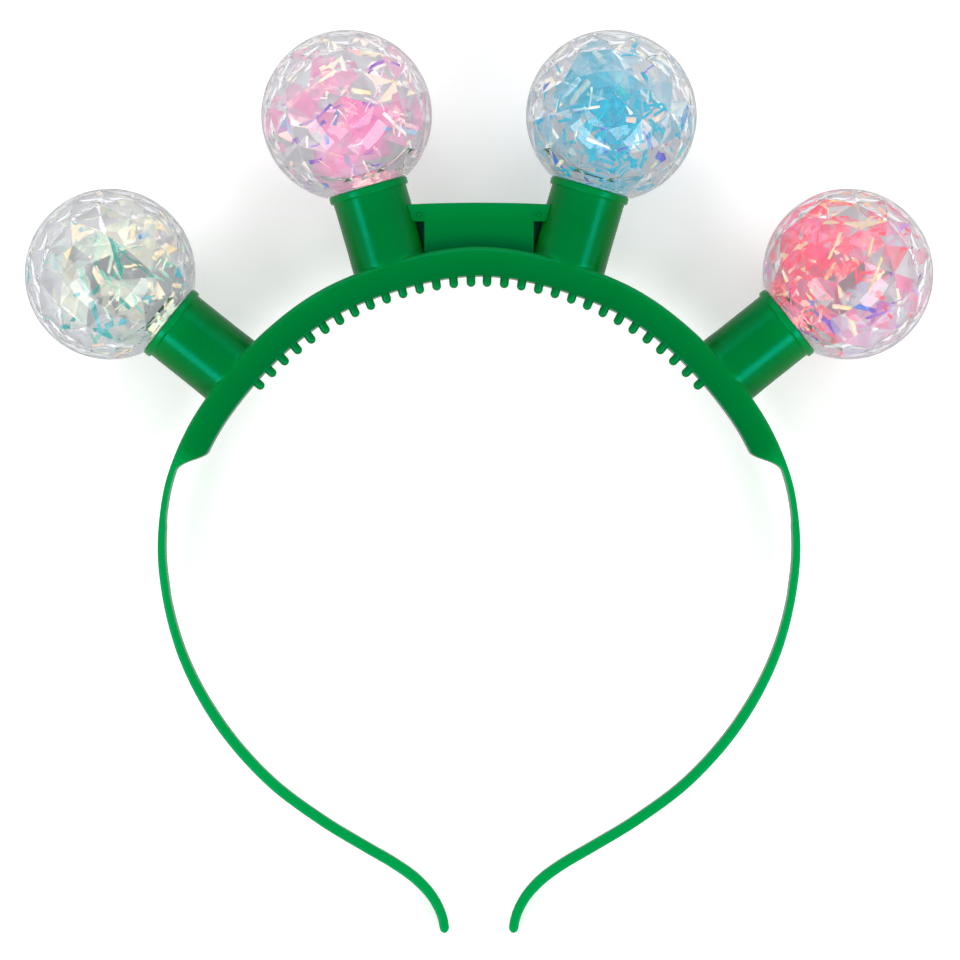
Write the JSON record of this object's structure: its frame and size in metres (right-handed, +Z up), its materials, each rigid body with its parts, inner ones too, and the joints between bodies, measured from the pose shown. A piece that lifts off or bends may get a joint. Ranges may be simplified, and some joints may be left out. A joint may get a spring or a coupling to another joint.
{
  "type": "disco ball headband",
  "caption": "Light-up party headband: a springy moulded hoop with comb teeth, a battery box on its crown, and clear faceted balls of iridescent film on short sockets.",
  "frame": {"origin": "middle of the bounding box, on the table it lies on", "axes": "+X from one arm to the other, +Y from the arm tips up to the crown, +Z up from the table, out of the front face as it lies on its back"},
  "size_m": [0.2054, 0.2032, 0.0423],
  "materials": {
    "green_plastic": "gloss",
    "clear_plastic": "gloss, clear",
    "film_teal": "gloss, iridescent film",
    "film_pink": "gloss, iridescent film",
    "film_blue": "gloss, iridescent film",
    "film_coral": "gloss, iridescent film"
  },
  "bodies": {
    "root": {"headband": "green_plastic", "battery_box": "green_plastic", "ball_1": "clear_plastic", "ball_2": "clear_plastic", "ball_3": "clear_plastic", "ball_4": "clear_plastic", "film_1": "film_teal", "film_2": "film_pink", "film_3": "film_blue", "film_4": "film_coral"}
  },
  "joints": []
}
